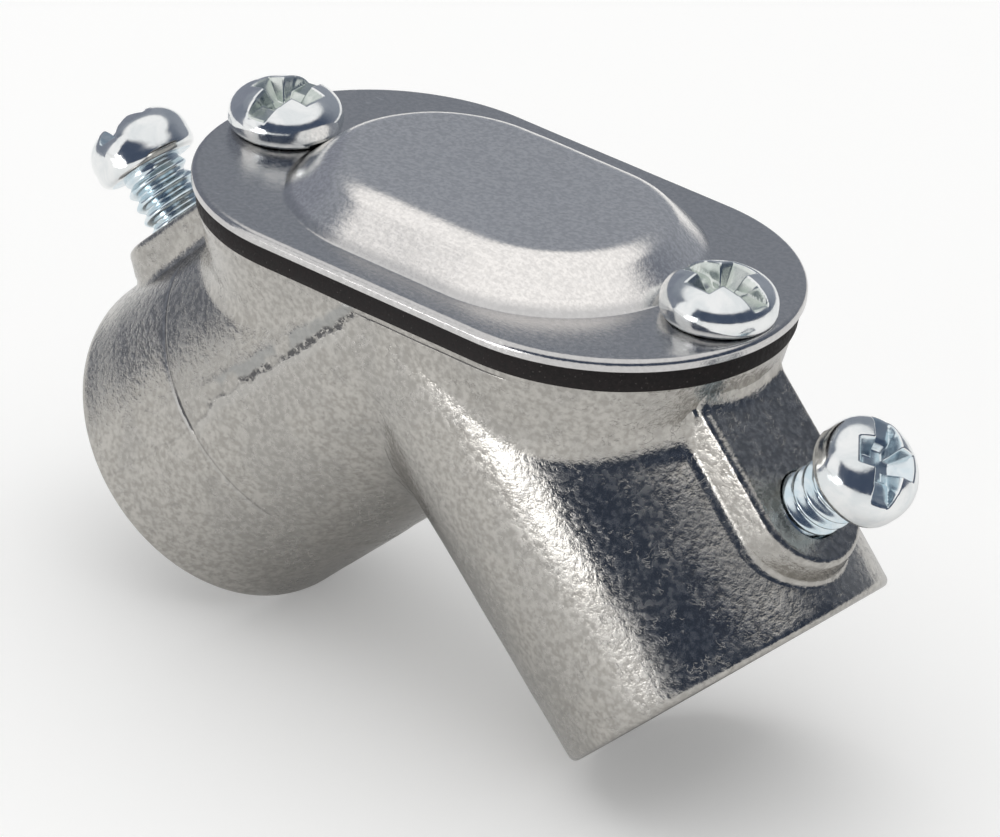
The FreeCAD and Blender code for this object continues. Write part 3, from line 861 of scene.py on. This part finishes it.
def face_height(along, across, side):
    """The pad's flat face, swept up into the box's end by a fillet and kept under the seat."""
    def distance(points):
        """Less than zero under the face or in the box."""
        plane = hub_coordinates(points, side)[1] - PAD_FACE
        return filleted(plane, box_distance(points)[0] + DIP, FACE_BLEND)

    start = on_axis(along, 12.0, across, side)
    target = on_axis(along, 22.0, across, side)
    found = hub_coordinates(first_crossing(distance, start, target, 0.0, 1.0), side)[1]
    return np.minimum(np.maximum(found, PAD_FACE), along + ROOT_TWO * (SEAT_HEIGHT - 0.1))


def lip_rings(side):
    """Rings over the pad's rounded lip, a quarter circle from the face to the wall."""
    rings = []
    for a in np.linspace(0.0, math.pi / 2, 7)[1:]:
        along, across = pad_outline(PAD_LIP * (math.sin(a) - 1.0))
        height = face_height(along, across, side) - PAD_LIP * (1.0 - math.cos(a))
        rings.append(on_axis(along, height, across, side))
    return rings


def foot_rings(side):
    """The wall's end, a fillet as a curve of three control rings, and a sunk last ring."""
    along, across = pad_outline(PAD_DRAFT)
    foot = np.minimum(skin_height(along, across, side), PAD_FACE - PAD_LIP - 0.05)
    wall_end = np.minimum(foot + PAD_FOOT, PAD_FACE - PAD_LIP - 0.02)
    outer_along, outer_across = pad_outline(PAD_DRAFT + PAD_FOOT)
    outer = skin_height(outer_along, outer_across, side) - DIP
    rings = [on_axis(along, wall_end, across, side)]
    for share in np.linspace(0.0, 1.0, 9)[1:]:
        t, w, s = (1 - share) ** 2, 2 * share * (1 - share), share ** 2
        rings.append(on_axis(
            (t + w) * along + s * outer_along,
            t * wall_end + w * foot + s * outer,
            (t + w) * across + s * outer_across, side))
    return rings + [on_axis(outer_along, np.full_like(outer, SUNK), outer_across, side)]


def pad(side):
    """Rings from the hole's foot over the face and lip to the fillet's foot."""
    face_along, face_across = pad_outline(-PAD_LIP)
    angle = np.arctan2(face_across, face_along - SET_SCREW_STATION)
    rim = SET_HOLE_RADIUS + HOLE_CHAMFER
    hole = [(SET_HOLE_RADIUS, 9.6), (SET_HOLE_RADIUS, PAD_FACE - HOLE_CHAMFER), (rim, PAD_FACE)]
    rings = [on_axis(SET_SCREW_STATION + r * np.cos(angle), u, r * np.sin(angle), side) for r, u in hole]
    rim_along, rim_across = SET_SCREW_STATION + rim * np.cos(angle), rim * np.sin(angle)
    for share in np.linspace(0.0, 1.0, 26)[1:]:
        along = rim_along + share * (face_along - rim_along)
        across = rim_across + share * (face_across - rim_across)
        rings.append(on_axis(along, face_height(along, across, side), across, side))
    return np.array(rings + lip_rings(side) + foot_rings(side) + rings[:1])


print("pad outline:", len(pad_outline(0.0)[0]), "points")

# %% Both pads
PAD_WAVES = 0.02
for side, word in ((1.0, "right"), (-1.0, "left")):
    rings = pad(side)
    rings = rings + (PAD_WAVES * rolling(rings))[..., None] * np.array([side, 0.0, 1.0]) / ROOT_TWO
    make_piece("pad_" + word, rings, grid_cells(*rings.shape[:2]), "housing", cast_zinc)

# %% [markdown]
# ## Ovals for the gasket and the cover
# Gasket and cover are profiles carried round an oval: two half circles joined by two
# straight runs.  Every oval here has the same number of points in the same order, so
# any row can be joined to any other.

# %% Ovals
ARC_STEPS = 112
STRAIGHT_STEPS = 48


def oval(straight, radius, height):
    """Right arc, far side, left arc, near side, at a height; radius 0 leaves a line."""
    bend = np.linspace(-math.pi / 2, math.pi / 2, ARC_STEPS)
    run = np.linspace(1.0, -1.0, STRAIGHT_STEPS + 2)[1:-1]
    x = np.concatenate([straight + radius * np.cos(bend), straight * run,
                        -straight - radius * np.cos(bend), -straight * run])
    y = np.concatenate([radius * np.sin(bend), np.full(STRAIGHT_STEPS, radius),
                        radius * np.sin(-bend), np.full(STRAIGHT_STEPS, -radius)])
    return np.stack([x, y, np.full_like(x, height)], axis=-1)


print("oval:", len(oval(1.0, 1.0, 0.0)), "points")

# %% [markdown]
# The gasket's outer edge bulges a little where the screws squeeze the rubber, and its
# outline sways by a twentieth of a millimetre, as a punched sheet's does.

# %% Gasket
GASKET_THICKNESS = 1.6
GASKET_SWAY = 0.05
GASKET_FACE_WIDTH = 12.2
GASKET_EDGE = ((13.12, 0.0), (13.22, 0.10), (13.27, 0.5), (13.28, 1.0), (13.24, 1.48),
               (13.12, GASKET_THICKNESS))
COVER_UNDERSIDE = SEAT_HEIGHT + GASKET_THICKNESS

hole = (OPENING_STRAIGHT, OPENING_HALF_WIDTH)
face = (BOX_STRAIGHT, GASKET_FACE_WIDTH)
gasket_section = [(*hole, SEAT_HEIGHT), (*face, SEAT_HEIGHT)]
gasket_section += [(BOX_STRAIGHT, width, SEAT_HEIGHT + height) for width, height in GASKET_EDGE]
gasket_section += [(*face, COVER_UNDERSIDE), (*hole, COVER_UNDERSIDE), (*hole, SEAT_HEIGHT)]
rings = np.array([oval(*row) for row in gasket_section])
outward = rings[..., :2] / np.linalg.norm(rings[..., :2], axis=-1, keepdims=True)
rings[..., :2] += GASKET_SWAY * rolling(rings * 0.6)[..., None] * outward
cells = grid_cells(*rings.shape[:2])
gasket_sheet = make_piece("gasket_sheet", rings, cells, "housing", rubber)
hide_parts("gasket")

# %% [markdown]
# ## Pressed cover
# The cover is sheet steel of even thickness.  Its section runs from the middle of the
# dome over the shoulder, down the slope to a crisp crease, out along the flange, over
# the rounded edge, and back beneath.

# %% Cover
COVER_THICKNESS = 0.9
COVER_TOP = COVER_UNDERSIDE + COVER_THICKNESS
COVER_STRAIGHT = 9.3
COVER_HALF_WIDTH = 13.65
COVER_EDGE = 0.42
DOME_STRAIGHT = 4.5
DOME_HALF_WIDTH = 11.0
DOME_HEIGHT = 2.9
DOME_SLOPE_WIDTH = 3.2
DOME_SHOULDER = 3.0
DOME_FOOT = 0.35


def shoulder_point(angle, end):
    """Point of the shoulder's arc where the sheet still leans by an angle."""
    return (end - DOME_SHOULDER * math.sin(angle), DOME_HEIGHT - DOME_SHOULDER * (1 - math.cos(angle)))


def dome_section():
    """(inward distance from the crease, height): foot fillet, slope, shoulder, flat top."""
    slope = math.atan2(DOME_HEIGHT, DOME_SLOPE_WIDTH)
    foot = DOME_FOOT * math.tan(slope / 2)
    end = DOME_SLOPE_WIDTH + DOME_SHOULDER * math.tan(slope / 2)
    points = [(DOME_FOOT * math.sin(a) - foot, DOME_FOOT * (1 - math.cos(a)))
              for a in np.linspace(0.0, slope, 7)]
    low, high = np.array(points[-1]), np.array(shoulder_point(slope, end))
    points += [tuple((1 - share) * low + share * high) for share in np.linspace(0.0, 1.0, 8)[1:-1]]
    points += [shoulder_point(a, end) for a in np.linspace(slope, 0.0, 22)]
    points += [(d, DOME_HEIGHT) for d in np.linspace(end, DOME_HALF_WIDTH, 14)[1:]]
    return np.array(points)


def offset_section(section, distance):
    """The section moved by a distance square to itself, downwards."""
    run = np.gradient(section, axis=0)
    run /= np.linalg.norm(run, axis=1, keepdims=True)
    moved = section + distance * np.stack([run[:, 1], -run[:, 0]], axis=1)
    moved[-1, 0] = DOME_HALF_WIDTH
    return moved


def dome_rows(section):
    """A section carried round the dome's oval, one row for each of its points."""
    return [oval(DOME_STRAIGHT, DOME_HALF_WIDTH - d, COVER_TOP + h) for d, h in section]


def flange_rows(shares, inner, outer, height):
    """Flat rows whose straight and half width both grow from the dome's to the edge's."""
    return [oval(DOME_STRAIGHT + share * (COVER_STRAIGHT - DOME_STRAIGHT),
                 inner + share * (outer - inner), height) for share in shares]


section = dome_section()
print("dome section:", len(section), "points")

# %% The whole section carried round
COVER_WAVES = 0.018
COVER_BURR = 0.12                             # small bevel along the lower edge
flange = np.linspace(0.0, 1.0, 10)[1:]
inner = DOME_HALF_WIDTH - section[0, 0]
outer = COVER_HALF_WIDTH - COVER_EDGE
rows = dome_rows(section[::-1]) + flange_rows(flange, inner, outer, COVER_TOP)
rows += [oval(COVER_STRAIGHT, outer + COVER_EDGE * math.sin(a), COVER_TOP - COVER_EDGE * (1 - math.cos(a)))
         for a in np.linspace(0.0, math.pi / 2, 8)[1:]]
rows.append(oval(COVER_STRAIGHT, COVER_HALF_WIDTH, COVER_UNDERSIDE + COVER_BURR))
rows.append(oval(COVER_STRAIGHT, COVER_HALF_WIDTH - COVER_BURR, COVER_UNDERSIDE))
rows += flange_rows(flange[::-1][1:], inner, outer, COVER_UNDERSIDE)
rows = np.array(rows + dome_rows(offset_section(section, COVER_THICKNESS)))
near_top = step(-np.abs(rows[..., 2] - COVER_TOP - 1.5), -2.0, -1.0)
rows[..., 2] += COVER_WAVES * rolling(rows * 0.7) * near_top
cells = grid_cells(*rows.shape[:2])
pressed_cover = make_piece("pressed_cover", rows, cells, "lid", pressed_steel)
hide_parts("cover")

# %% [markdown]
# ## Screws
# A screw is one grid as well: a polar grid over the head, pressed down where the slot
# and cross go, then the rim, the underside, and a shank whose radius follows a helix.
# On the shank the radius depends only on how far a point is from the thread's crest,
# and that distance grows by one pitch for each turn.

# %% Screw surface
SCREW_COLUMNS = 240
ROUND_OUT = 0.84                              # below 1 the crown is fuller than an ellipse
SLOT_WIDTH, SLOT_DEPTH, SLOT_FLARE = 1.4, 1.2, 3.5
CROSS_WING, CROSS_SPAN, CROSS_DEPTH, CROSS_FLOOR = 2.3, 5.2, 1.7, 0.40
RECESS_ROUNDING = 0.35


def soft_min(a, b, radius):
    """The lesser of two values, rounded where they are nearly equal."""
    blend = np.maximum(radius - np.abs(a - b), 0.0) / radius
    return np.minimum(a, b) - 0.25 * radius * blend ** 2


def recess(x, y, crown, top):
    """The head's crown cut by a slot with steep walls and two tapered wings."""
    slot = top - SLOT_DEPTH + SLOT_FLARE * np.maximum(np.abs(y) - 0.5 * SLOT_WIDTH, 0.0)
    floor = top - CROSS_DEPTH
    height = soft_min(crown, slot, RECESS_ROUNDING)
    for long, wide in ((x, y), (y, x)):
        run = (np.abs(long) / (0.5 * CROSS_SPAN) - CROSS_FLOOR) / (1.0 - CROSS_FLOOR)
        flank = (np.abs(wide) / (0.5 * CROSS_WING) - CROSS_FLOOR) / (1.0 - CROSS_FLOOR)
        wing = floor + CROSS_DEPTH * np.maximum(np.maximum(run, flank), 0.0)
        height = soft_min(height, wing, RECESS_ROUNDING)
    return height


print("recess depth at the middle:", round(float(2.3 - recess(*np.zeros(2), 2.3, 2.3)), 3))

# %% Head and shank
HEAD_ROWS = 74
TIP_CHAMFER = 0.65
THREAD_DEPTH = 0.42                           # of the pitch
THREAD_ROWS = 15                              # rows in one pitch
RUN_OUT = 0.55                                # how full the shank is under the head


def head_rows(sizes, turn):
    """Rings from the middle over the crown to the rim, then under to the shank."""
    bearing, head, rim_low, rim_high, top = sizes
    angle = np.linspace(0.0, 2 * math.pi, SCREW_COLUMNS, endpoint=False)
    ring = np.stack([np.cos(angle), np.sin(angle), np.zeros_like(angle)], axis=-1)
    a = np.linspace(0.0, math.pi / 2, HEAD_ROWS)
    rise = top - rim_high
    radius = head * np.sin(a) ** ROUND_OUT
    crown = rim_high + rise * np.cos(a) ** ROUND_OUT
    x = radius[:, None] * np.cos(angle + turn)
    y = radius[:, None] * np.sin(angle + turn)
    crown = np.broadcast_to(crown[:, None], x.shape)
    dome = radius[:, None, None] * ring
    dome[..., 2] = np.maximum(recess(x, y, crown, top), np.minimum(crown, top - CROSS_DEPTH))
    rim = [(head, 0.5 * (rim_high + rim_low))]
    rim += [(bearing + (head - bearing) * math.cos(a), rim_low * (1.0 - math.sin(a)))
            for a in np.linspace(0.0, math.pi / 2, 7)]
    return dome, np.array([r * ring + [0.0, 0.0, z] for r, z in rim]), ring, angle


def shank_rows(ring, angle, radius, length, pitch):
    """Rings down the shank; the radius dips between crests of a right-handed helix."""
    z = np.linspace(-0.05, -length, int(THREAD_ROWS * length / pitch))[:, None]
    phase = (z / pitch - angle / (2 * math.pi)) % 1.0
    crest = (0.5 - 0.5 * np.cos(2.0 * math.pi * phase)) ** 0.8
    under_head = step(z, -0.9, -0.15)
    crest = crest * (1.0 - under_head) + RUN_OUT * under_head
    limit = radius - TIP_CHAMFER + (z + length) * 1.15
    r = np.minimum(radius - THREAD_DEPTH * pitch * (1.0 - crest), limit)
    rows = r[..., None] * ring
    rows[..., 2] += z
    return rows, z[-1, 0]


def tint_hollows(piece, place, axis, sizes):
    """Gives the recess and the shank the blue plating: faces off the crown and the rim."""
    _, head, _, rim_high, top = sizes
    mesh = piece.data
    mesh.materials.append(blue_plating)
    centres = np.empty(3 * len(mesh.polygons), np.float32)
    mesh.polygons.foreach_get("center", centres)
    local = centres.reshape(-1, 3) / MM - [0.0, 0.0, CORNER / MM] - place
    height = local @ axis
    radius = np.linalg.norm(local - height[:, None] * axis, axis=1)
    share = np.clip(radius / head, 0.0, 1.0) ** (1.0 / ROUND_OUT)
    crown = rim_high + (top - rim_high) * np.sqrt(1.0 - share ** 2) ** ROUND_OUT
    recessed = (height < crown - 0.10) & (height > rim_high) & (radius < 0.97 * head)
    deep = (radius < 0.5 * head) & (height > 0.01) & (height < rim_high)
    hollow = recessed | deep | (height < -0.01)
    mesh.polygons.foreach_set("material_index", hollow.astype(np.int32))
    print(piece.name, "blue faces", int(hollow.sum()))


print("head rows:", len(head_rows((3.3, 4.0, 0.8, 0.9, 3.2), 0.0)[0]))

# %% One screw
def screw(name, sizes, shank, place, axis, across, turn, body, node):
    """Builds a screw along an axis, from its head's seat."""
    dome, rim, ring, angle = head_rows(sizes, turn)
    thread, end = shank_rows(ring, angle, *shank)
    tip = np.zeros((1, SCREW_COLUMNS, 3)) + [0.0, 0.0, end]
    dome[0] = dome[0].mean(axis=0)
    rows = np.concatenate([dome, rim, thread, tip])
    turned = rows @ np.array([across, np.cross(axis, across), axis]) + place
    cells = grid_cells(*rows.shape[:2])
    piece = make_piece(name, turned, cells, body, plated_steel, sharp=50.0)
    tint_hollows(piece, place, axis, sizes)
    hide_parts(node)


X_AXIS, Y_AXIS, Z_AXIS = np.eye(3)
print("axes:", X_AXIS, Y_AXIS, Z_AXIS)

# %% [markdown]
# A head is given by five sizes: the radius of the face it bears on, the radius of its
# rim, the heights where the rim starts and ends, and the height of its top.  A shank is
# given by its radius, its length and the thread's pitch.  Each screw stopped at its own
# turn when it was driven.

# %% Cover screws
COVER_SCREW_STATION = 19.0
COVER_HEAD = (3.3, 4.0, 0.8, 0.9, 3.2)
COVER_SHANK = (2.05, 6.35, 0.794)
for side, word, degrees in ((1.0, "right", -176.0), (-1.0, "left", -96.0)):
    place = np.array([side * COVER_SCREW_STATION, 0.0, COVER_TOP])
    screw("lid_screw_" + word, COVER_HEAD, COVER_SHANK, place, Z_AXIS, X_AXIS,
          math.radians(degrees), word + "_cover_screw", "cover_screw_" + word)

# %% Set screws
SET_HEAD = (3.1, 3.7, 0.7, 1.3, 4.0)
SET_SHANK = (2.4, 9.2, 1.06)
SET_TIP_RECESS = 0.2                          # tip behind the socket's wall
SET_HEAD_SEAT = SOCKET_RADIUS + SET_TIP_RECESS + SET_SHANK[1]
for side, word, degrees in ((1.0, "right", -50.0), (-1.0, "left", -13.0)):
    place = on_axis(SET_SCREW_STATION, SET_HEAD_SEAT, 0.0, side)
    axis = (side * X_AXIS + Z_AXIS) / ROOT_TWO
    screw("clamp_screw_" + word, SET_HEAD, SET_SHANK, place, axis, Y_AXIS,
          math.radians(degrees), word + "_set_screw", "set_screw_" + word)

# %% [markdown]
# ## Floor, backdrop and lamps
# The floor is a pale plane that takes the part's shadow.  A little light of its own
# lifts it to white for the camera and for reflections.  Close to the part that lift fades
# out for reflections only, a painted shadow that mirrors see under the part.  The world is
# white where the camera and mirrors see it, and softer where it lights the part.  Metal
# looks like what it mirrors, so a dark curtain hangs round the set, with a gap at the
# front left and open above, and a low dark card stands close on the left; only
# reflections see them.  One broad soft box hangs overhead, and two low lamps in front
# give the long highlight on the socket.

# %% Floor
FLOOR_HALF = 3.0
FLOOR_COLOUR = (0.84, 0.84, 0.835, 1)
FLOOR_LIFT = 0.28
REFLECTED_SHADOW_MIDDLE = (0.0, 0.03, 0.0)                # under the part, a little behind it
REFLECTED_SHADOW_FROM, REFLECTED_SHADOW_FULLY = 0.01, 0.06            # metres from that middle


def seen_directly(tree, path):
    """1 for rays from the camera, straight or through glass."""
    return calc(tree, "MAXIMUM", path["Is Camera Ray"], path["Is Transmission Ray"])


floor_mesh = bpy.data.meshes.new("floor")
corners = [(x * FLOOR_HALF, y * FLOOR_HALF, 0) for x, y in ((-1, -1), (1, -1), (1, 1), (-1, 1))]
floor_mesh.from_pydata(corners, [], [(0, 1, 2, 3)])
floor = bpy.data.objects.new("floor", floor_mesh)
bpy.context.scene.collection.objects.link(floor)

paper = bpy.data.materials.new("paper")
paper.use_nodes = True
tree = paper.node_tree
tree.nodes.remove(tree.nodes["Principled BSDF"])
matt = add(tree, "ShaderNodeBsdfDiffuse", {"Color": FLOOR_COLOUR}).outputs[0]
path = add(tree, "ShaderNodeLightPath").outputs
spot = add(tree, "ShaderNodeTexCoord").outputs["Object"]
away = add(tree, "ShaderNodeVectorMath", {0: spot, 1: REFLECTED_SHADOW_MIDDLE}, operation="DISTANCE").outputs["Value"]
# Painted shadow in reflections: mirrors lose the floor's lift close to the part.
mirrored = calc(tree, "MULTIPLY", path["Is Glossy Ray"], spread(tree, away, REFLECTED_SHADOW_FROM, REFLECTED_SHADOW_FULLY))
seen = calc(tree, "MAXIMUM", seen_directly(tree, path), mirrored)
strength = calc(tree, "MULTIPLY", seen, FLOOR_LIFT)
lift = add(tree, "ShaderNodeEmission", {"Color": FLOOR_COLOUR, "Strength": strength}).outputs[0]
pale = add(tree, "ShaderNodeAddShader", {0: matt, 1: lift}).outputs[0]
tree.links.new(pale, tree.nodes["Material Output"].inputs["Surface"])
floor_mesh.materials.append(paper)
print("floor:", FLOOR_HALF * 2, "m wide")

# %% World
WORLD_FILL = 0.40
world = bpy.data.worlds.new("studio")
bpy.context.scene.world = world
world.use_nodes = True
tree = world.node_tree
path = add(tree, "ShaderNodeLightPath").outputs
seen = calc(tree, "MAXIMUM", seen_directly(tree, path), path["Is Glossy Ray"])
strength = spread(tree, seen, 0.0, 1.0, WORLD_FILL, 1.0, smooth=False)
background = tree.nodes["Background"]
background.inputs["Color"].default_value = (1, 1, 1, 1)
tree.links.new(strength, background.inputs["Strength"])
bpy.context.scene.view_settings.view_transform = "Standard"
print("world strength to the part:", WORLD_FILL)

# %% Lamps
def soft_box(name, place, aim, width, height, power, glossy=True):
    """An area lamp that faces a point, both in metres in the frame."""
    data = bpy.data.lights.new(name, "AREA")
    data.shape = "RECTANGLE"
    data.size, data.size_y, data.energy = width, height, power
    lamp = bpy.data.objects.new(name, data)
    bpy.context.scene.collection.objects.link(lamp)
    lamp.visible_camera, lamp.visible_glossy = False, glossy
    lamp.location = place
    lamp.rotation_euler = (Vector(aim) - Vector(place)).to_track_quat("-Z", "Y").to_euler()


PART_MIDDLE = (0.0, 0.0, 0.02)
soft_box("top_box", (-0.25, 0.05, 0.95), (-0.25, 0.05, 0.0), 1.7, 1.6, 8.6, glossy=False)
soft_box("strip_box", (-0.14, -0.85, 0.05), PART_MIDDLE, 0.26, 0.09, 0.34)
soft_box("low_box", (-0.05, -0.30, 0.002), (-0.05, -0.30, 1.0), 0.085, 0.34, 0.50)

# %% [markdown]
# The curtain and the card are upright curved sheets that shine with their own tone and
# show only in reflections.  The curtain is dark blue grey, paler towards the back left,
# and turns white at the top, where it meets the white overhead.

# %% Curtain and card
SHEET_STEPS = 61


def upright_sheet(name, radius, height, start, end, material):
    """A curved sheet round the middle, between two angles in degrees, anticlockwise from +X."""
    angle = np.radians(np.linspace(start, end, SHEET_STEPS))
    z = np.array([0.0, height])[:, None]
    grid = np.stack(np.broadcast_arrays(radius * np.cos(angle), radius * np.sin(angle), z), axis=-1)
    mesh = bpy.data.meshes.new(name)
    mesh.from_pydata(grid.reshape(-1, 3).tolist(), [], grid_cells(2, SHEET_STEPS, wrap=False).tolist())
    mesh.materials.append(material)
    sheet = bpy.data.objects.new(name, mesh)
    bpy.context.scene.collection.objects.link(sheet)
    sheet.visible_camera = sheet.visible_diffuse = sheet.visible_shadow = False
    sheet.visible_transmission = False


def shining(name):
    """A material that only shines, and its emission node."""
    material = bpy.data.materials.new(name)
    material.use_nodes = True
    tree = material.node_tree
    tree.nodes.remove(tree.nodes["Principled BSDF"])
    shine = add(tree, "ShaderNodeEmission", {"Strength": 1.0})
    tree.links.new(shine.outputs[0], tree.nodes["Material Output"].inputs["Surface"])
    return material, tree, shine


CLOTH_DARK, CLOTH_PALE = (0.065, 0.085, 0.13, 1), (0.29, 0.315, 0.36, 1)
CLOTH_TOP = (0.9, 0.9, 0.9, 1)
CARD_TONE = (0.24, 0.26, 0.31, 1)

cloth, tree, shine = shining("cloth")
axes = add(tree, "ShaderNodeSeparateXYZ", {0: add(tree, "ShaderNodeTexCoord").outputs["Object"]}).outputs
rise = spread(tree, axes[2], 1.25, 1.65)
toward_back = spread(tree, calc(tree, "SUBTRACT", axes[1], axes[0]), -0.6, 1.7)
tone = mixed(tree, toward_back, CLOTH_DARK, CLOTH_PALE)
tree.links.new(mixed(tree, rise, tone, CLOTH_TOP), shine.inputs["Color"])
upright_sheet("curtain", 1.5, 1.7, -104.0, 218.0, cloth)

card, tree, shine = shining("card")
shine.inputs["Color"].default_value = CARD_TONE
upright_sheet("side_card", 0.17, 0.12, 142.0, 218.0, card)
print("sheets: curtain and side_card")
